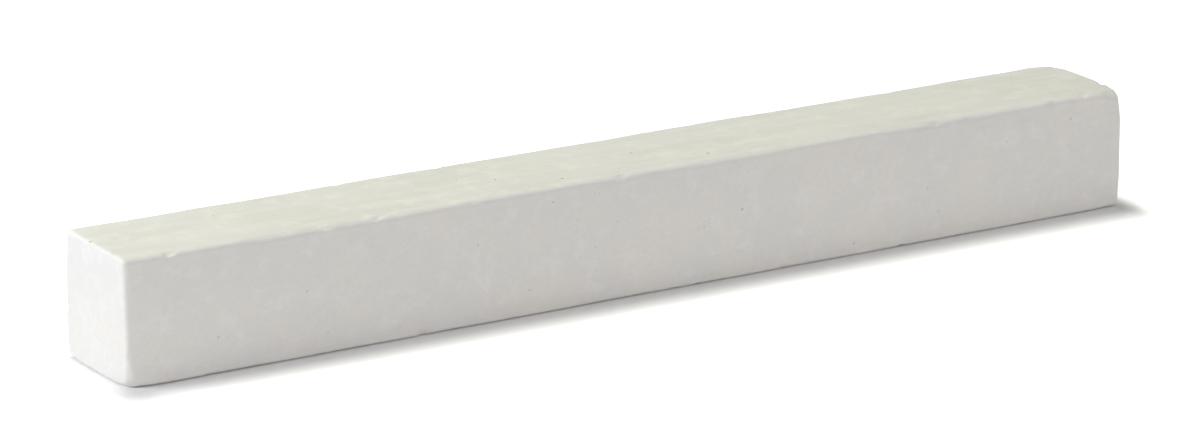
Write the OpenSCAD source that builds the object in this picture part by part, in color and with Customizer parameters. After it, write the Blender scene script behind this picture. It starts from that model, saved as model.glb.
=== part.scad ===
// Square stick of white writing chalk, moulded as one solid bar and lying on one long face.

/* [Stick] */
// Length from end face to end face
stick_length = 90; // [60:1:150]
// Width between the two side faces
stick_width = 10; // [8:0.5:25]
// Height from the face it lies on to the top face
stick_height = 10; // [8:0.5:25]

/* [Edges] */
// Radius of every edge and corner, left by the mould
edge_r = 0.3; // [0.2:0.05:2]

/* [Hidden] */
chalk_white = "#E9E8E3";
flat_length = stick_length - 2 * edge_r;
flat_width = stick_width - 2 * edge_r;
flat_height = stick_height - 2 * edge_r;
$fn = 64;

// Three crossed blocks: each pair of opposite faces ends where its edges start to turn.
module flat_faces() {
    cube([stick_length, flat_width, flat_height], center = true);
    cube([flat_length, stick_width, flat_height], center = true);
    cube([flat_length, flat_width, stick_height], center = true);
}

// Four rods of the edge radius along Z, at the corners of a rectangle.
module edge_rods(size_x, size_y, rod_length) {
    for (side_x = [-1, 1], side_y = [-1, 1])
        translate([side_x * size_x / 2, side_y * size_y / 2, 0])
            cylinder(h = rod_length, r = edge_r, center = true);
}

// The rods of all twelve edges, turned to run along the length, across it and upright.
module round_edges() {
    rotate([0, 90, 0])
        edge_rods(flat_height, flat_width, flat_length);
    rotate([90, 0, 0])
        edge_rods(flat_length, flat_height, flat_width);
    edge_rods(flat_length, flat_width, flat_height);
}

// A ball in each of the eight corners.
module round_corners() {
    for (end_x = [-1, 1], side_y = [-1, 1], side_z = [-1, 1])
        translate([end_x * flat_length / 2, side_y * flat_width / 2, side_z * flat_height / 2])
            sphere(r = edge_r);
}

module chalk_stick() {
    color(chalk_white)
        translate([0, 0, stick_height / 2])
            union() {
                flat_faces();
                round_edges();
                round_corners();
            }
}

chalk_stick();
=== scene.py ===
import math

import bpy
from mathutils import Matrix, Vector


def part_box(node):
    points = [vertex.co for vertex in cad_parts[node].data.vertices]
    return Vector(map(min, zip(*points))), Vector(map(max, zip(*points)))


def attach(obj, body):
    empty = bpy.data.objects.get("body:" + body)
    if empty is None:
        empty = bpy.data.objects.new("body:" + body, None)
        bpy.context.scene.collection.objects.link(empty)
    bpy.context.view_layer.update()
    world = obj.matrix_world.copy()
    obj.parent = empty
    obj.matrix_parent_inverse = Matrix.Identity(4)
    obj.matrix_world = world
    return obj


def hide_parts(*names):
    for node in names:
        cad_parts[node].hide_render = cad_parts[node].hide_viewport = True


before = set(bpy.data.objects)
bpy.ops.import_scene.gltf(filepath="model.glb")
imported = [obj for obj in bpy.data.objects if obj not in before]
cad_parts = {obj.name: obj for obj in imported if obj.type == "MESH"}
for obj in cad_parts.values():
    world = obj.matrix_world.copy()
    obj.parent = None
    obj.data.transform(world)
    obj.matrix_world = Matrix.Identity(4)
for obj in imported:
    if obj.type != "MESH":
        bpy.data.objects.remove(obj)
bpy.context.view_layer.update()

MM = 0.001
LOW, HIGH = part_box("chalk_stick")
STICK = HIGH - LOW
MIDDLE = (LOW + HIGH) / 2

# The mould's shape, and the rows of its skin, which crowd towards the edges
EDGE_RADIUS = 0.3 * MM
ROW_SPACING = 0.25 * MM
ROW_CROWDING = 0.25
EDGE_ROWS = 4

# How far the near end is out of square, the share of that which its upper back corner has, and how soon
# it fades along the stick
END_SLANT = 0.5 * MM
UPPER_BACK_SHARE = 0.6
SLANT_REACH = 15 * MM

# What scraping, rubbing and knocks did to it
SWELL_DEPTH = 0.03 * MM
UNEVEN_DEPTH = 0.014 * MM
DRAG_DEPTH = 0.012 * MM
RUBBED_RADIUS = 0.35 * MM
NICK_RADIUS = 0.45 * MM
CORNER_RADIUS = 1.0 * MM
CORNER_REACH = 2.8 * MM
KNOCK_RADIUS = 0.35 * MM
DUST_REACH = 1.3 * MM
WEAR_SEED = 169.5

# How many blotches of each kind of wear go into a mm. The drag lines have a number for each direction.
SWELLS = 0.07
UNEVEN_SPOTS = 0.7
DRAG_LINES = (0.03, 2.2, 0.3)
RUBBED_PATCHES = 0.16
NICKS = 0.62
KNOCKS = 0.085
CRUMBLY_SPOTS = 0.8

# Air bubbles in the faces and crumbled spots on the edges
PINHOLE_RADIUS = 0.17 * MM
PINHOLE_GAP = 2.6 * MM
PINHOLE_SEED = 11
CRUMB_RADIUS = 0.42 * MM
CRUMB_GAP = 2.2 * MM
CRUMB_SEED = 2
CRUMB_STRETCH = 1.3
MOST_PITS_PER_M2 = 4e6
SMALLEST_PIT = 0.25

# Pinholes keep this many edge radii from the edges. Crumbled spots sit round the edges, where no part of
# the skin's direction is greater than this.
FLAT_FROM = 2.5
ROUND_BELOW = 0.93

# Points this close become one, and folds sharper than this stay crisp
WELD_GAP = 0.001 * MM
CRISP_FOLD = math.radians(38)

# The six faces laid out in the unit square: the rows' pitch, a long face's length and width, an end's
# width, and how far the ends lie from the middle of their row
LAYOUT_PITCH = 0.2
LAYOUT_LENGTH = 0.98
LAYOUT_WIDTH = 0.185
LAYOUT_END = 0.18
LAYOUT_END_PLACE = 0.25

# The chalk's tones
COOL_WHITE = (0.860, 0.856, 0.838, 1)
WARM_WHITE = (0.898, 0.876, 0.830, 1)
FLECK_WHITE = (0.915, 0.905, 0.890, 1)
# Partly painted light: besides the scraped face's cream, this tint stands in for the yellowish, slightly
# darker cast the light gives the top face
SCRAPED_CREAM_AND_TOP_LIGHT_TINT = (0.835, 0.832, 0.718, 1)
DRAG_SHADE = (0.770, 0.766, 0.668, 1)
SMEARED_CREAM = (0.900, 0.890, 0.790, 1)
SCRATCH_SHADE = (0.78, 0.77, 0.69, 1)
GRAIN_SHADE = (0.818, 0.803, 0.768, 1)
POWDER_WHITE = (0.93, 0.92, 0.905, 1)
# Painted shade: the colour the open pores are darkened to, standing in for the shade inside them
PORE_PAINTED_SHADE = (0.68, 0.665, 0.62, 1)

# How pale the tabletop is seen to be by the stick and clear of its shadow: painted light, which fades the
# stick's shadow out a few mm from it. It pales on with the square of the distance in metres, painted light
# that makes up for the lamps' falloff far off, and pales sooner past the stick's ends, which trims the
# shadow there.
BY_STICK = 1.1
CLEAR_OF_STICK = 1.8
PALES_FROM = 1.2 * MM
PALES_TO = 7 * MM
FAR_PAINTED_LIGHT = 45.0
PAST_ENDS = 3.4


# ---------------------------------------------------------------- node helpers

def add(tree, kind, *feeds, **settings):
    """Adds a node, with settings on the node itself and feeds on its inputs in order: a socket is linked,
    a value is set, and None leaves the input alone."""
    node = tree.nodes.new(kind)
    for name, value in settings.items():
        setattr(node, name, value)
    for socket, feed in zip([s for s in node.inputs if s.enabled], feeds):
        if isinstance(feed, bpy.types.NodeSocket):
            tree.links.new(feed, socket)
        elif feed is not None:
            socket.default_value = feed
    return node


def result(node):
    """The output that a node has in use."""
    return next(s for s in node.outputs if s.enabled)


def maths(tree, operation, *feeds, clamp=False):
    """The result of one sum on numbers."""
    return add(tree, "ShaderNodeMath", *feeds, operation=operation, use_clamp=clamp).outputs["Value"]


def vectors(tree, operation, *feeds):
    """The result of one sum on vectors."""
    return result(add(tree, "ShaderNodeVectorMath", *feeds, operation=operation))


def compare(tree, operation, first, second):
    """Whether the first number is greater or less than the second."""
    node = add(tree, "FunctionNodeCompare", first, second, operation=operation, data_type="FLOAT")
    return node.outputs["Result"]


def ramp(tree, value, start, end, low=0.0, high=1.0):
    """A smooth step from low to high as value goes from start to end."""
    node = add(tree, "ShaderNodeMapRange", value, start, end, low, high, interpolation_type="SMOOTHSTEP")
    return node.outputs["Result"]


def split(tree, vector):
    """The three numbers in a vector."""
    return add(tree, "ShaderNodeSeparateXYZ", vector).outputs


def combine(tree, x, y, z):
    """A vector of three numbers."""
    return add(tree, "ShaderNodeCombineXYZ", x, y, z).outputs["Vector"]


def noise(tree, place, scale, detail=2.0, roughness=0.5, seed=0.0):
    """Even noise from 0 to 1. The scale is in blotches per unit of place."""
    node = add(tree, "ShaderNodeTexNoise", place, seed, scale, detail, roughness, noise_dimensions="4D")
    return node.outputs["Fac"]


def drawn(tree, low, high, seed=None, kind="FLOAT"):
    """A random draw for each spot, between low and high."""
    return result(add(tree, "FunctionNodeRandomValue", low, high, None, seed, data_type=kind))


def here(tree):
    """Where a point of the shape is."""
    return add(tree, "GeometryNodeInputPosition").outputs["Position"]


# ---------------------------------------------------------------- the stick's shape

SHAPE_INPUTS = (
    ("Length", "NodeSocketFloat", STICK.x),
    ("Width", "NodeSocketFloat", STICK.y),
    ("Height", "NodeSocketFloat", STICK.z),
    ("Edge Radius", "NodeSocketFloat", EDGE_RADIUS),
    ("Row Spacing", "NodeSocketFloat", ROW_SPACING),
    ("Row Crowding", "NodeSocketFloat", ROW_CROWDING),
    ("Edge Rows", "NodeSocketInt", EDGE_ROWS),
    ("End Slant", "NodeSocketFloat", END_SLANT),
    ("Slant Reach", "NodeSocketFloat", SLANT_REACH),
    ("Swell Depth", "NodeSocketFloat", SWELL_DEPTH),
    ("Uneven Depth", "NodeSocketFloat", UNEVEN_DEPTH),
    ("Drag Depth", "NodeSocketFloat", DRAG_DEPTH),
    ("Rubbed Radius", "NodeSocketFloat", RUBBED_RADIUS),
    ("Nick Radius", "NodeSocketFloat", NICK_RADIUS),
    ("Corner Radius", "NodeSocketFloat", CORNER_RADIUS),
    ("Corner Reach", "NodeSocketFloat", CORNER_REACH),
    ("Knock Radius", "NodeSocketFloat", KNOCK_RADIUS),
    ("Dust Reach", "NodeSocketFloat", DUST_REACH),
    ("Wear Seed", "NodeSocketFloat", WEAR_SEED),
    ("Pinhole Radius", "NodeSocketFloat", PINHOLE_RADIUS),
    ("Pinhole Gap", "NodeSocketFloat", PINHOLE_GAP),
    ("Pinhole Seed", "NodeSocketInt", PINHOLE_SEED),
    ("Crumb Radius", "NodeSocketFloat", CRUMB_RADIUS),
    ("Crumb Gap", "NodeSocketFloat", CRUMB_GAP),
    ("Crumb Seed", "NodeSocketInt", CRUMB_SEED),
    ("Chalk", "NodeSocketMaterial", None),
)


def stick_size(tree, sizes):
    """The sharp bar's length, width and height as one vector."""
    return combine(tree, sizes["Length"], sizes["Width"], sizes["Height"])


def rounded_bar(tree, sizes):
    """A closed bar of rows that crowd towards its edges, with rows of their own round each edge. Also its
    outward direction, the side each face belongs to, and its place with the round edges rolled out flat."""
    radius = sizes["Edge Radius"]
    core = vectors(
        tree, "SUBTRACT",
        stick_size(tree, sizes),
        combine(tree, *[maths(tree, "MULTIPLY", radius, 2.0)] * 3),
    )
    spacing = combine(tree, *[sizes["Row Spacing"]] * 3)
    rows = vectors(tree, "CEIL", vectors(tree, "DIVIDE", core, spacing))
    edge_rows = combine(tree, *[maths(tree, "MULTIPLY", sizes["Edge Rows"], 2.0)] * 3)
    all_rows = vectors(tree, "ADD", rows, edge_rows)
    counts = [maths(tree, "ADD", axis, 1.0) for axis in split(tree, all_rows)]
    cube = add(tree, "GeometryNodeMeshCube", (2.0, 2.0, 2.0), *counts)

    place = here(tree)
    core_share = vectors(tree, "DIVIDE", rows, all_rows)
    half_core = vectors(tree, "SCALE", core, 0.5)
    on_core = add(
        tree, "ShaderNodeMapRange", place,
        vectors(tree, "SCALE", core_share, -1.0), core_share,
        vectors(tree, "SCALE", half_core, -1.0), half_core,
        data_type="FLOAT_VECTOR",
    ).outputs["Vector"]
    share = vectors(tree, "DIVIDE", on_core, half_core)
    short_of_end = vectors(tree, "SUBTRACT", (1.0, 1.0, 1.0), vectors(tree, "MULTIPLY", share, share))
    crowded = vectors(tree, "SCALE", vectors(tree, "MULTIPLY", on_core, short_of_end), sizes["Row Crowding"])
    on_core = vectors(tree, "ADD", on_core, crowded)
    past_core = add(
        tree, "ShaderNodeMapRange", vectors(tree, "ABSOLUTE", place),
        core_share, (1.0, 1.0, 1.0), (0.0, 0.0, 0.0), (math.pi / 4,) * 3,
        data_type="FLOAT_VECTOR",
    ).outputs["Vector"]
    signs = vectors(tree, "SIGN", place)
    lean = vectors(tree, "MULTIPLY", vectors(tree, "TANGENT", past_core), signs)
    outward = vectors(tree, "NORMALIZE", lean)
    rolled = vectors(tree, "MULTIPLY", past_core, signs)
    flat = vectors(tree, "ADD", on_core, vectors(tree, "SCALE", rolled, radius))
    lift = combine(tree, 0.0, 0.0, maths(tree, "MULTIPLY", sizes["Height"], 0.5))
    rounded = vectors(tree, "ADD", on_core, vectors(tree, "SCALE", outward, radius))
    rounded = vectors(tree, "ADD", rounded, lift)

    points = add(tree, "GeometryNodeCaptureAttribute", domain="POINT")
    tree.links.new(cube.outputs["Mesh"], points.inputs["Geometry"])
    for name, value in (("Outward", outward), ("Rolled Out", flat), ("Round Place", rounded)):
        points.capture_items.new("VECTOR", name)
        tree.links.new(value, points.inputs[name])

    faces = add(tree, "GeometryNodeCaptureAttribute", domain="FACE")
    faces.capture_items.new("VECTOR", "Side")
    tree.links.new(points.outputs["Geometry"], faces.inputs["Geometry"])
    tree.links.new(add(tree, "GeometryNodeInputNormal").outputs["Normal"], faces.inputs["Side"])

    kept = points.outputs
    bar = add(tree, "GeometryNodeSetPosition", faces.outputs["Geometry"], None, kept["Round Place"])
    return bar.outputs["Geometry"], kept["Outward"], faces.outputs["Side"], kept["Rolled Out"]


def depths_under_faces(tree, sizes):
    """How far a point lies in from each of the three pairs of faces of the sharp bar, as a vector, and the
    way out from the bar's middle to its corner, as signs."""
    half = vectors(tree, "SCALE", stick_size(tree, sizes), 0.5)
    centre = combine(tree, 0.0, 0.0, maths(tree, "MULTIPLY", sizes["Height"], 0.5))
    from_centre = vectors(tree, "SUBTRACT", here(tree), centre)
    under = vectors(tree, "SUBTRACT", half, vectors(tree, "ABSOLUTE", from_centre))
    return under, vectors(tree, "SIGN", from_centre)


def edge_distance(tree, sizes):
    """How far a point of the skin is from the nearest sharp edge: the middle one of its three depths."""
    x, y, z = split(tree, depths_under_faces(tree, sizes)[0])
    return maths(
        tree, "MAXIMUM",
        maths(tree, "MINIMUM", x, y),
        maths(tree, "MINIMUM", maths(tree, "MAXIMUM", x, y), z),
    )


def rubbed_round(tree, under, signs, radius):
    """How a point moves when the edges and corners of the sharp bar are rubbed round to a radius."""
    past = vectors(tree, "SUBTRACT", combine(tree, radius, radius, radius), under)
    past = vectors(tree, "MAXIMUM", past, (0.0, 0.0, 0.0))
    left = maths(tree, "MINIMUM", maths(tree, "DIVIDE", radius, vectors(tree, "LENGTH", past)), 1.0)
    return vectors(tree, "SCALE", vectors(tree, "MULTIPLY", past, signs), maths(tree, "SUBTRACT", left, 1.0))


def sunk_depth(tree, sizes, place, scraped):
    """How deep the skin lies under the mould's shape: broad swells, a fine unevenness, and drag lines on
    the scraped top. Place is in mm."""
    seed = sizes["Wear Seed"]
    swell = ramp(tree, noise(tree, place, SWELLS, 1.0, 0.5, seed), 0.3, 0.7)
    depth = maths(tree, "MULTIPLY", swell, sizes["Swell Depth"])
    uneven = noise(tree, place, UNEVEN_SPOTS, 2.0, 0.5, seed)
    depth = maths(tree, "MULTIPLY_ADD", uneven, sizes["Uneven Depth"], depth)
    lines = noise(tree, vectors(tree, "MULTIPLY", place, DRAG_LINES), 1.0, 2.0, 0.6, seed)
    drag = maths(tree, "MULTIPLY", lines, sizes["Drag Depth"])
    return maths(tree, "MULTIPLY_ADD", drag, scraped, depth)


def knocked_corners(tree, signs):
    """Which corners took an extra knock: the far end's upper front corner and the near end's lower back
    one in full, and the far end's lower front one about a quarter."""
    diagonal = vectors(tree, "DOT_PRODUCT", signs, (1.0, -1.0, 0.4))
    far_and_front = ramp(tree, diagonal, 1.2, 2.4)
    near_and_back = ramp(tree, diagonal, -1.8, -2.4)
    return maths(tree, "MAXIMUM", far_and_front, near_and_back)


def worn_radius(tree, sizes, place, under, signs):
    """The radius that edges and corners are rubbed to: patchy and rounder along the top, with nicks here
    and there, and blunt at the corners. Place is in mm."""
    seed = sizes["Wear Seed"]
    patches = ramp(tree, noise(tree, place, RUBBED_PATCHES, 1.0, 0.5, seed), 0.30, 0.72, 0.25, 1.0)
    top = maths(tree, "DIVIDE", sizes["Height"], MM)
    high = ramp(tree, split(tree, place)[2], 0.0, top, 0.5, 1.0)
    inboard = ramp(tree, split(tree, under)[0], 0.0, sizes["Corner Reach"], 0.2, 1.0)
    rubbed = maths(tree, "MULTIPLY", maths(tree, "MULTIPLY", patches, high), inboard)
    rubbed = maths(tree, "MULTIPLY", rubbed, sizes["Rubbed Radius"])

    corner = ramp(tree, vectors(tree, "LENGTH", under), sizes["Corner Reach"], 0.0)
    bites = ramp(tree, noise(tree, place, NICKS, 1.0, 0.5, seed), 0.58, 0.74)
    bites = maths(tree, "MULTIPLY", bites, maths(tree, "SUBTRACT", 1.0, corner))
    nicked = maths(tree, "MULTIPLY", bites, sizes["Nick Radius"])

    knocks = ramp(tree, noise(tree, place, KNOCKS, 0.0, 0.5, seed), 0.36, 0.68)
    knocked = maths(tree, "MULTIPLY", knocked_corners(tree, signs), sizes["Knock Radius"])
    blunt = maths(tree, "MULTIPLY_ADD", knocks, sizes["Corner Radius"], knocked)
    blunt = maths(tree, "MULTIPLY", corner, blunt)

    extra = maths(tree, "ADD", maths(tree, "ADD", rubbed, nicked), blunt)
    crumbly = maths(tree, "MULTIPLY_ADD", noise(tree, place, CRUMBLY_SPOTS, 2.0, 0.5, seed), 0.6, 0.7)
    return maths(tree, "MULTIPLY_ADD", extra, crumbly, sizes["Edge Radius"])


def wear(tree, sizes, outward):
    """How the skin moves from the mould's shape as it sinks and its edges are rubbed rounder. Also how
    near an edge and how scraped each point is."""
    place = vectors(tree, "SCALE", here(tree), 1 / MM)
    edge = ramp(tree, edge_distance(tree, sizes), sizes["Dust Reach"], 0.0)
    scraped = ramp(tree, split(tree, outward)[2], 0.8, 1.0)
    under, signs = depths_under_faces(tree, sizes)
    depth = sunk_depth(tree, sizes, place, scraped)
    sunk = vectors(tree, "SCALE", outward, maths(tree, "MULTIPLY", depth, -1.0))
    rounder = rubbed_round(tree, under, signs, worn_radius(tree, sizes, place, under, signs))
    return vectors(tree, "ADD", sunk, rounder), edge, scraped


def slanted_end(tree, sizes):
    """How a point moves because the near end is out of square: only its lower back corner is full
    length."""
    x, y, z = split(tree, here(tree))
    from_end = maths(tree, "MULTIPLY_ADD", sizes["Length"], 0.5, x)
    near = ramp(tree, from_end, 0.0, sizes["Slant Reach"], 1.0, 0.0)
    back = maths(tree, "ADD", maths(tree, "DIVIDE", y, sizes["Width"]), 0.5)
    low = maths(tree, "MULTIPLY_ADD", maths(tree, "DIVIDE", z, sizes["Height"]), -UPPER_BACK_SHARE, 1.0)
    short = maths(tree, "SUBTRACT", 1.0, maths(tree, "MULTIPLY", back, low, clamp=True))
    along = maths(tree, "MULTIPLY", maths(tree, "MULTIPLY", short, near), sizes["End Slant"])
    return combine(tree, along, 0.0, 0.0)


def bake_layout(tree, sizes, side, flat):
    """Lays the six faces out flat in the unit square: a row each for the front, top, back and underside,
    and a fifth for both ends."""
    wrap = maths(tree, "MULTIPLY", sizes["Edge Radius"], 2.0 - math.pi / 2)
    reach = vectors(tree, "SUBTRACT", stick_size(tree, sizes), combine(tree, wrap, wrap, wrap))
    x, y, z = split(tree, vectors(tree, "DIVIDE", flat, reach))
    side_x, side_y, side_z = split(tree, side)
    is_end = maths(tree, "ABSOLUTE", side_x)
    is_front_or_back = maths(tree, "ABSOLUTE", side_y)
    is_top_or_under = maths(tree, "ABSOLUTE", side_z)

    row = maths(tree, "ADD", maths(tree, "MULTIPLY", is_end, 4.0), maths(
        tree, "ADD",
        maths(tree, "MULTIPLY", is_front_or_back, maths(tree, "ADD", side_y, 1.0)),
        maths(tree, "MULTIPLY", is_top_or_under, maths(tree, "SUBTRACT", 2.0, side_z)),
    ))
    row_middle = maths(tree, "MULTIPLY_ADD", row, LAYOUT_PITCH, LAYOUT_PITCH / 2)
    across = maths(
        tree, "ADD",
        maths(tree, "MULTIPLY", y, is_top_or_under),
        maths(tree, "MULTIPLY", z, maths(tree, "SUBTRACT", 1.0, is_top_or_under)),
    )
    long_face_u = maths(tree, "ADD", maths(tree, "MULTIPLY", x, LAYOUT_LENGTH), 0.5)
    end_middle = maths(tree, "MULTIPLY_ADD", side_x, LAYOUT_END_PLACE, 0.5)
    end_u = maths(tree, "ADD", maths(tree, "MULTIPLY", y, LAYOUT_END), end_middle)
    u = result(add(tree, "ShaderNodeMix", is_end, long_face_u, end_u, data_type="FLOAT"))
    v = maths(tree, "ADD", maths(tree, "MULTIPLY", across, LAYOUT_WIDTH), row_middle)
    return combine(tree, u, v, 0.0)


def store(tree, geometry, name, value, kind="FLOAT", domain="POINT"):
    """The geometry with one more named attribute."""
    node = add(tree, "GeometryNodeStoreNamedAttribute", geometry, None, name, value,
               data_type=kind, domain=domain)
    return node.outputs["Geometry"]


def pits(tree, sizes, skin, side, flat, chosen, radius, gap, seed, lumps, stretch):
    """Small lumpy bodies, sunk in the skin where chosen, to be cut out of it. Each takes over the layout
    of the spot it sits on. The lumps are per mm."""
    place = vectors(tree, "SCALE", here(tree), 1 / MM)
    crowded = ramp(tree, noise(tree, place, 0.11, 2.0, 0.5, seed), 0.42, 0.72)
    spots = add(tree, "GeometryNodeDistributePointsOnFaces", skin, chosen, gap, MOST_PITS_PER_M2, crowded,
                seed, distribute_method="POISSON")
    kept = add(tree, "GeometryNodeCaptureAttribute", domain="POINT")
    kept.capture_items.new("VECTOR", "Spot")
    tree.links.new(spots.outputs["Points"], kept.inputs["Geometry"])
    tree.links.new(here(tree), kept.inputs["Spot"])

    ball = add(tree, "GeometryNodeMeshIcoSphere", 1.0, 2)
    mostly_small = maths(tree, "POWER", drawn(tree, 0.25, 1.0, seed), 2.6)
    share = maths(tree, "MULTIPLY_ADD", mostly_small, 1.0 - SMALLEST_PIT, SMALLEST_PIT)
    size = maths(tree, "MULTIPLY", radius, share)
    turn = drawn(tree, None, (math.tau,) * 3, kind="FLOAT_VECTOR")
    placed = add(tree, "GeometryNodeInstanceOnPoints", kept.outputs["Geometry"], None, ball.outputs["Mesh"])
    tree.links.new(turn, placed.inputs["Rotation"])
    thin = maths(tree, "DIVIDE", size, stretch)
    tree.links.new(combine(tree, maths(tree, "MULTIPLY", size, stretch), thin, thin), placed.inputs["Scale"])
    solid = add(tree, "GeometryNodeRealizeInstances", placed.outputs["Instances"]).outputs["Geometry"]

    place = here(tree)
    lump = noise(tree, vectors(tree, "SCALE", place, 1 / MM), lumps, 1.0)
    from_spot = vectors(tree, "SUBTRACT", place, kept.outputs["Spot"])
    swollen = vectors(tree, "SCALE", from_spot, maths(tree, "MULTIPLY_ADD", lump, 0.9, 0.55))
    lumpy = vectors(tree, "ADD", swollen, kept.outputs["Spot"])
    solid = add(tree, "GeometryNodeSetPosition", solid, None, lumpy).outputs["Geometry"]

    moved = vectors(tree, "SUBTRACT", here(tree), kept.outputs["Spot"])
    layout = bake_layout(tree, sizes, side, vectors(tree, "ADD", flat, moved))
    solid = store(tree, solid, "OFBake", layout, "FLOAT2", "CORNER")
    solid = store(tree, solid, "edge", 0.0)
    solid = store(tree, solid, "scraped", 0.0)
    return store(tree, solid, "cut", 1.0)


def crisp_folds(tree, body):
    """The body, shaded smooth except along its sharp folds."""
    angle = add(tree, "GeometryNodeInputMeshEdgeAngle").outputs["Unsigned Angle"]
    crisp = compare(tree, "GREATER_THAN", angle, CRISP_FOLD)
    shaded = add(tree, "GeometryNodeSetShadeSmooth", body, crisp, domain="EDGE")
    shaded.inputs["Shade Smooth"].default_value = False
    return shaded.outputs["Geometry"]


def stick_tree():
    """The whole shape: a rounded bar, worn, with pinholes and crumbled spots cut out of it."""
    tree = bpy.data.node_groups.new("moulded chalk stick", "GeometryNodeTree")
    for name, kind, value in SHAPE_INPUTS:
        socket = tree.interface.new_socket(name, in_out="INPUT", socket_type=kind)
        if value is not None:
            socket.default_value = value
    tree.interface.new_socket("Geometry", in_out="OUTPUT", socket_type="NodeSocketGeometry")
    sizes = tree.nodes.new("NodeGroupInput").outputs

    bar, outward, side, flat = rounded_bar(tree, sizes)
    bar = store(tree, bar, "OFBake", bake_layout(tree, sizes, side, flat), "FLOAT2", "CORNER")
    worn, edge, scraped = wear(tree, sizes, outward)
    bar = store(tree, bar, "edge", edge)
    bar = store(tree, bar, "scraped", scraped)
    bar = store(tree, bar, "cut", 0.0)
    bar = add(tree, "GeometryNodeSetPosition", bar, None, None, worn).outputs["Geometry"]
    bar = add(tree, "GeometryNodeSetShadeSmooth", bar).outputs["Geometry"]

    clear_of_edges = maths(tree, "MULTIPLY", sizes["Edge Radius"], FLAT_FROM)
    on_flats = compare(tree, "GREATER_THAN", edge_distance(tree, sizes), clear_of_edges)
    x, y, z = split(tree, vectors(tree, "ABSOLUTE", outward))
    squarest = maths(tree, "MAXIMUM", maths(tree, "MAXIMUM", x, y), z)
    on_edges = compare(tree, "LESS_THAN", squarest, ROUND_BELOW)
    pinholes = pits(tree, sizes, bar, side, flat, on_flats, sizes["Pinhole Radius"], sizes["Pinhole Gap"],
                    sizes["Pinhole Seed"], lumps=1.5, stretch=1.0)
    crumbs = pits(tree, sizes, bar, side, flat, on_edges, sizes["Crumb Radius"], sizes["Crumb Gap"],
                  sizes["Crumb Seed"], lumps=1.2, stretch=CRUMB_STRETCH)
    cut = add(tree, "GeometryNodeMeshBoolean", operation="DIFFERENCE", solver="MANIFOLD")
    tree.links.new(bar, cut.inputs["Mesh 1"])
    tree.links.new(pinholes, cut.inputs["Mesh 2"])
    tree.links.new(crumbs, cut.inputs["Mesh 2"])

    body = add(tree, "GeometryNodeMergeByDistance", cut.outputs["Mesh"], None, WELD_GAP).outputs["Geometry"]
    body = crisp_folds(tree, body)
    slant = slanted_end(tree, sizes)
    body = add(tree, "GeometryNodeSetPosition", body, None, None, slant).outputs["Geometry"]
    body = add(tree, "GeometryNodeRealizeInstances", body).outputs["Geometry"]
    body = add(tree, "GeometryNodeSetMaterial", body, None, sizes["Chalk"]).outputs["Geometry"]
    out = tree.nodes.new("NodeGroupOutput")
    tree.links.new(body, out.inputs["Geometry"])
    return tree


def grown(name, tree, inputs):
    """The plain mesh object that a tree makes with these inputs."""
    holder = bpy.data.objects.new(name + "_tree", bpy.data.meshes.new(name + "_tree"))
    bpy.context.scene.collection.objects.link(holder)
    modifier = holder.modifiers.new("shape", "NODES")
    modifier.node_group = tree
    for item in tree.interface.items_tree:
        if item.in_out == "INPUT" and item.name in inputs:
            modifier[item.identifier] = inputs[item.name]
    graph = bpy.context.evaluated_depsgraph_get()
    mesh = bpy.data.meshes.new_from_object(holder.evaluated_get(graph), depsgraph=graph)
    bpy.data.objects.remove(holder)
    # The tree's cube starts with an empty material slot, which no face uses
    if mesh.materials[0] is None:
        mesh.materials.pop(index=0)
    mesh.name = name
    piece = bpy.data.objects.new(name, mesh)
    bpy.context.scene.collection.objects.link(piece)
    return piece


# ---------------------------------------------------------------- finishes

def effect(name, inputs, outputs):
    """A new shader node group with these named inputs and outputs, and the sockets inside it to build on."""
    group = bpy.data.node_groups.new(name, "ShaderNodeTree")
    for label, kind, value in inputs:
        socket = group.interface.new_socket(label, in_out="INPUT", socket_type=kind)
        if value is not None:
            socket.default_value = value
    for label in outputs:
        group.interface.new_socket(label, in_out="OUTPUT", socket_type="NodeSocketFloat")
    given = group.nodes.new("NodeGroupInput").outputs
    made = group.nodes.new("NodeGroupOutput").inputs
    return group, given, made


def put(tree, group, **feeds):
    """Places a group in a material. Its inputs are given by name, with _ for a space."""
    node = tree.nodes.new("ShaderNodeGroup")
    node.node_tree = group
    for name, feed in feeds.items():
        socket = node.inputs[name.replace("_", " ")]
        if isinstance(feed, bpy.types.NodeSocket):
            tree.links.new(feed, socket)
        else:
            socket.default_value = feed
    return node.outputs


def blotches(group, place, size, detail, roughness, seed):
    """Noise from 0 to 1 with blotches of a given size."""
    return noise(group, place, maths(group, "DIVIDE", 1.0, size), detail, roughness, seed)


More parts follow.
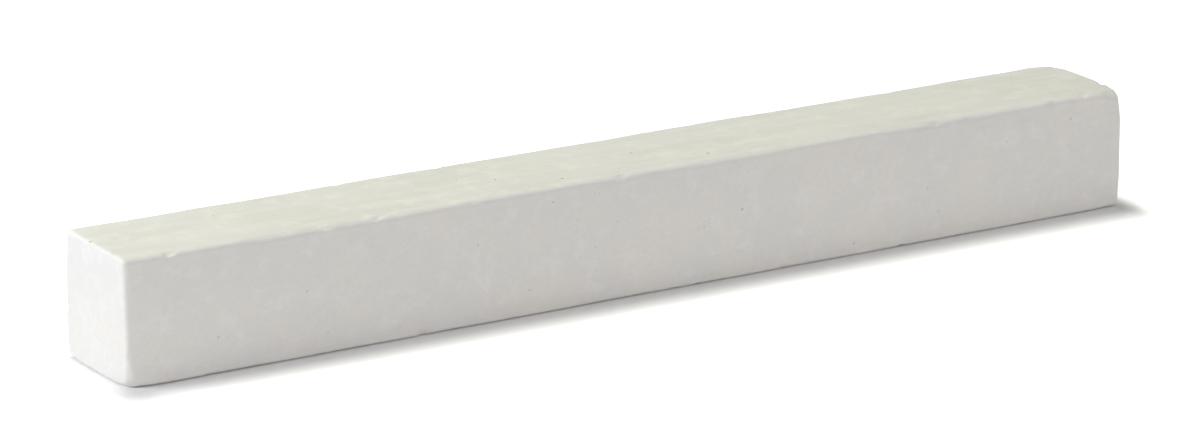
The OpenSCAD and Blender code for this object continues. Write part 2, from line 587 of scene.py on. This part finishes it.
def powder_grain():
    """Pressed powder: broad clouds, paler flecks, fine grain, and thinly scattered open pores. Place and
    sizes are in mm."""
    group, given, made = effect("powder grain", (
        ("Place", "NodeSocketVector", None),
        ("Cloud Size", "NodeSocketFloat", 6.0),
        ("Fleck Size", "NodeSocketFloat", 1.5),
        ("Grain Size", "NodeSocketFloat", 0.3),
        ("Pore Size", "NodeSocketFloat", 0.1),
        ("Pore Gap", "NodeSocketFloat", 1.0),
    ), ("Clouds", "Flecks", "Grain", "Pores"))
    clouds = blotches(group, given["Place"], given["Cloud Size"], 3.0, 0.55, 0.0)
    group.links.new(clouds, made["Clouds"])
    flecks = blotches(group, given["Place"], given["Fleck Size"], 4.0, 0.6, 7.0)
    group.links.new(ramp(group, flecks, 0.48, 0.68), made["Flecks"])
    grain = blotches(group, given["Place"], given["Grain Size"], 3.0, 0.7, 5.0)
    group.links.new(grain, made["Grain"])

    pores_per_mm = maths(group, "DIVIDE", 1.0, given["Pore Gap"])
    cells = add(group, "ShaderNodeTexVoronoi", given["Place"], pores_per_mm)
    from_pore = maths(group, "MULTIPLY", cells.outputs["Distance"], given["Pore Gap"])
    draw, width = split(group, cells.outputs["Color"])[:2]
    reach = maths(group, "MULTIPLY", given["Pore Size"], maths(group, "MULTIPLY_ADD", width, 0.9, 0.35))
    hole = ramp(group, maths(group, "DIVIDE", from_pore, reach), 1.0, 0.45)
    one_in_five = maths(group, "GREATER_THAN", draw, 0.8)
    group.links.new(maths(group, "MULTIPLY", hole, one_in_five), made["Pores"])
    return group


def scraper_lines():
    """Faint lines left along the stick where its top was scraped level, and a few deeper scratches. Place
    and sizes are in mm."""
    group, given, made = effect("scraper lines", (
        ("Place", "NodeSocketVector", None),
        ("Line Width", "NodeSocketFloat", 0.8),
        ("Line Length", "NodeSocketFloat", 30.0),
    ), ("Lines", "Scratches"))
    x, y, z = split(group, given["Place"])
    wander = noise(group, given["Place"], 0.05, 1.0)
    across = maths(group, "MULTIPLY_ADD", wander, 1.6, y)
    place = combine(
        group,
        maths(group, "DIVIDE", x, given["Line Length"]),
        maths(group, "DIVIDE", across, given["Line Width"]),
        maths(group, "DIVIDE", z, given["Line Width"]),
    )
    lines = ramp(group, noise(group, place, 1.0, 3.0, 0.6, 2.0), 0.3, 0.7)
    pressed = ramp(group, noise(group, given["Place"], 0.12, 3.0, 0.6, 6.0), 0.36, 0.62, 0.3, 1.0)
    group.links.new(maths(group, "MULTIPLY", lines, pressed), made["Lines"])
    fine = vectors(group, "MULTIPLY", place, (2.6, 3.2, 3.2))
    group.links.new(ramp(group, noise(group, fine, 1.0, 1.0, 0.5, 8.0), 0.66, 0.74), made["Scratches"])
    return group


def loose_powder():
    """Patches of dry powder, thickest along rubbed edges and in what is broken open. Place and size are
    in mm."""
    group, given, made = effect("loose powder", (
        ("Place", "NodeSocketVector", None),
        ("Edge", "NodeSocketFloat", 0.0),
        ("Cut", "NodeSocketFloat", 0.0),
        ("Patch Size", "NodeSocketFloat", 3.0),
    ), ("Powder",))
    patch = blotches(group, given["Place"], given["Patch Size"], 4.0, 0.65, 3.0)
    on_faces = ramp(group, patch, 0.5, 0.75, 0.0, 0.45)
    on_edges = maths(group, "MULTIPLY", ramp(group, patch, 0.25, 0.6), given["Edge"])
    most = maths(group, "MAXIMUM", maths(group, "MAXIMUM", on_faces, on_edges), given["Cut"])
    group.links.new(most, made["Powder"])
    return group


def attribute(tree, name):
    """A number stored on the mesh."""
    return add(tree, "ShaderNodeAttribute", attribute_name=name).outputs["Fac"]


def blend(tree, share, first, second):
    """A colour between two, by share."""
    return result(add(tree, "ShaderNodeMix", share, first, second, data_type="RGBA"))


def overlay(tree, colour, mask, strength, tone):
    """The colour with a tone laid over it, as strongly as the mask says."""
    return blend(tree, maths(tree, "MULTIPLY", mask, strength), colour, tone)


def white_chalk():
    """Dry white chalk: a matt skin of pressed powder, scraped along its top and dusty where it is rubbed.
    The top's cream is partly painted light, and the pores are painted darker as painted shade.
    """
    material = bpy.data.materials.new("white chalk")
    material.use_nodes = True
    tree = material.node_tree
    tree.nodes.clear()
    place = vectors(tree, "SCALE", tree.nodes.new("ShaderNodeTexCoord").outputs["Object"], 1 / MM)
    scraped = attribute(tree, "scraped")
    grain = put(tree, powder_grain(), Place=place, Cloud_Size=6.0, Fleck_Size=1.5, Grain_Size=0.3,
                Pore_Size=0.1, Pore_Gap=1.0)
    lines = put(tree, scraper_lines(), Place=place, Line_Width=1.3, Line_Length=15.0)
    powder = put(tree, loose_powder(), Place=place, Edge=attribute(tree, "edge"), Cut=attribute(tree, "cut"),
                 Patch_Size=3.0)["Powder"]
    drag = maths(tree, "MULTIPLY", lines["Lines"], scraped)
    scratch = maths(tree, "MULTIPLY", lines["Scratches"], scraped)
    smeared = maths(tree, "MULTIPLY", grain["Flecks"], scraped)

    colour = blend(tree, ramp(tree, grain["Clouds"], 0.3, 0.7), COOL_WHITE, WARM_WHITE)
    colour = overlay(tree, colour, grain["Flecks"], 0.8, FLECK_WHITE)
    # The top face is painted creamier and a little darker: partly the scraped face, partly painted light
    colour = overlay(tree, colour, scraped, 0.6, SCRAPED_CREAM_AND_TOP_LIGHT_TINT)
    colour = overlay(tree, colour, drag, 0.85, DRAG_SHADE)
    colour = overlay(tree, colour, smeared, 0.7, SMEARED_CREAM)
    colour = overlay(tree, colour, scratch, 0.25, SCRATCH_SHADE)
    colour = blend(tree, ramp(tree, grain["Grain"], 0.55, 0.30, 0.0, 0.5), colour, GRAIN_SHADE)
    colour = overlay(tree, colour, powder, 0.3, POWDER_WHITE)
    # Painted shade: the open pores are coloured darker for the shade that falls inside them
    colour = overlay(tree, colour, grain["Pores"], 0.4, PORE_PAINTED_SHADE)

    rough = maths(tree, "MULTIPLY_ADD", grain["Grain"], 0.10, 0.88)
    rough = maths(tree, "MULTIPLY_ADD", scraped, -0.05, rough)
    rough = maths(tree, "MULTIPLY_ADD", powder, 0.06, rough, clamp=True)

    # The relief, in mm
    height = maths(tree, "MULTIPLY", grain["Grain"], 0.016)
    height = maths(tree, "MULTIPLY_ADD", drag, -0.010, height)
    height = maths(tree, "MULTIPLY_ADD", scratch, -0.012, height)
    height = maths(tree, "MULTIPLY_ADD", powder, 0.008, height)
    height = maths(tree, "MULTIPLY_ADD", grain["Pores"], -0.05, height)
    bump = tree.nodes.new("ShaderNodeBump")
    bump.inputs["Distance"].default_value = MM
    tree.links.new(height, bump.inputs["Height"])

    skin = tree.nodes.new("ShaderNodeBsdfPrincipled")
    skin.inputs["Specular IOR Level"].default_value = 0.15
    tree.links.new(colour, skin.inputs["Base Color"])
    tree.links.new(rough, skin.inputs["Roughness"])
    tree.links.new(bump.outputs["Normal"], skin.inputs["Normal"])
    out = tree.nodes.new("ShaderNodeOutputMaterial")
    tree.links.new(skin.outputs["BSDF"], out.inputs["Surface"])
    return material


# ---------------------------------------------------------------- the piece

chalk = white_chalk()
stick = grown("moulded_chalk", stick_tree(), {
    "Length": STICK.x, "Width": STICK.y, "Height": STICK.z, "Chalk": chalk,
})
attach(stick, "root")
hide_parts("chalk_stick")


# ---------------------------------------------------------------- floor, light and camera

def pale_floor():
    """A wide white tabletop, which keeps the stick's shadow close by it. Seen by the camera it is painted
    paler the further it lies from the stick: painted light that fades the shadow out within a few mm and
    keeps the far floor white.
    """
    material = bpy.data.materials.new("pale tabletop")
    material.use_nodes = True
    tree = material.node_tree
    tree.nodes.clear()
    top = add(tree, "ShaderNodeBsdfDiffuse", (0.9, 0.9, 0.9, 1))
    place = vectors(tree, "ABSOLUTE", tree.nodes.new("ShaderNodeTexCoord").outputs["Object"])
    past_stick = vectors(tree, "MAXIMUM", vectors(tree, "SUBTRACT", place, STICK / 2), (0.0, 0.0, 0.0))
    away = vectors(tree, "LENGTH", vectors(tree, "MULTIPLY", past_stick, (PAST_ENDS, 1.0, 1.0)))
    # Painted light: the seen level rises with distance from the stick, fading its shadow out and whitening
    # the far floor
    level = ramp(tree, away, PALES_FROM, PALES_TO, BY_STICK, CLEAR_OF_STICK)
    level = maths(tree, "MULTIPLY_ADD", maths(tree, "MULTIPLY", away, away), FAR_PAINTED_LIGHT, level)
    seen = add(tree, "ShaderNodeBsdfDiffuse", combine(tree, level, level, level))
    path = tree.nodes.new("ShaderNodeLightPath")
    mix = add(tree, "ShaderNodeMixShader", path.outputs["Is Camera Ray"], top.outputs[0], seen.outputs[0])
    out = tree.nodes.new("ShaderNodeOutputMaterial")
    tree.links.new(mix.outputs[0], out.inputs["Surface"])

    reach = 3.0
    mesh = bpy.data.meshes.new("floor")
    corners = [(-reach, -reach, 0), (reach, -reach, 0), (reach, reach, 0), (-reach, reach, 0)]
    mesh.from_pydata(corners, [], [(0, 1, 2, 3)])
    mesh.materials.append(material)
    floor = bpy.data.objects.new("floor", mesh)
    bpy.context.scene.collection.objects.link(floor)


def way_to(azimuth, elevation):
    """The way from the stick's middle. Azimuth 0 is its front, and 90 its far end."""
    a, e = math.radians(azimuth), math.radians(elevation)
    return Vector((math.sin(a) * math.cos(e), -math.cos(a) * math.cos(e), math.sin(e)))


def softbox(name, azimuth, elevation, distance, width, height, level, tint):
    """A lamp turned to the stick. A white card at the stick's place that faces the lamp looks as bright as
    the level says."""
    lamp = bpy.data.lights.new(name, "AREA")
    lamp.shape = "RECTANGLE"
    lamp.size = width
    lamp.size_y = height
    lamp.color = tint
    lamp.energy = level * (math.pi * distance) ** 2
    box = bpy.data.objects.new(name, lamp)
    away = way_to(azimuth, elevation)
    box.location = MIDDLE + away * distance
    box.rotation_euler = away.to_track_quat("Z", "Y").to_euler()
    bpy.context.scene.collection.objects.link(box)


def pale_world(level):
    """Even light from all round, seen as plain white."""
    world = bpy.data.worlds.new("studio")
    world.use_nodes = True
    tree = world.node_tree
    tree.nodes.clear()
    light = add(tree, "ShaderNodeBackground", (1, 1, 1, 1), level)
    white = add(tree, "ShaderNodeBackground", (1, 1, 1, 1), 1.0)
    path = tree.nodes.new("ShaderNodeLightPath")
    seen = maths(tree, "MAXIMUM", path.outputs["Is Camera Ray"], path.outputs["Is Glossy Ray"])
    seen = maths(tree, "MAXIMUM", seen, path.outputs["Is Transmission Ray"])
    mix = add(tree, "ShaderNodeMixShader", seen, light.outputs[0], white.outputs[0])
    out = tree.nodes.new("ShaderNodeOutputWorld")
    tree.links.new(mix.outputs[0], out.inputs["Surface"])
    bpy.context.scene.world = world


def studio_camera(azimuth, elevation, roll, distance, lens, aside, above):
    """A long lens turned to the stick, whose middle lies a little aside of and above the view's centre."""
    data = bpy.data.cameras.new("camera")
    data.lens = lens
    data.clip_start = 0.01
    data.clip_end = 20.0
    camera = bpy.data.objects.new("camera", data)
    away = way_to(azimuth, elevation)
    turn = away.to_track_quat("Z", "Y") @ Matrix.Rotation(math.radians(roll), 3, "Z").to_quaternion()
    camera.rotation_euler = turn.to_euler()
    camera.location = MIDDLE + away * distance - turn @ Vector((aside, above, 0))
    bpy.context.scene.collection.objects.link(camera)
    bpy.context.scene.camera = camera


pale_floor()
pale_world(0.23)
softbox("top lamp", azimuth=-175, elevation=78, distance=0.42, width=0.113, height=0.113,
        level=0.44, tint=(0.99, 1.0, 0.925))
softbox("left lamp", azimuth=-100, elevation=23, distance=0.30, width=0.18, height=0.048,
        level=0.488, tint=(0.921, 0.940, 0.995))
softbox("front lamp", azimuth=20, elevation=3, distance=0.60, width=0.40, height=0.10,
        level=0.244, tint=(1.0, 0.945, 0.95))
softbox("back lamp", azimuth=170, elevation=6, distance=0.60, width=0.40, height=0.10,
        level=0.08, tint=(1.0, 1.0, 1.0))
studio_camera(azimuth=-29.970, elevation=16.696, roll=-0.621, distance=37.592 * STICK.z, lens=143.92,
              aside=0.1321 * STICK.z, above=0.0009 * STICK.z)
bpy.context.scene.view_settings.view_transform = "Standard"
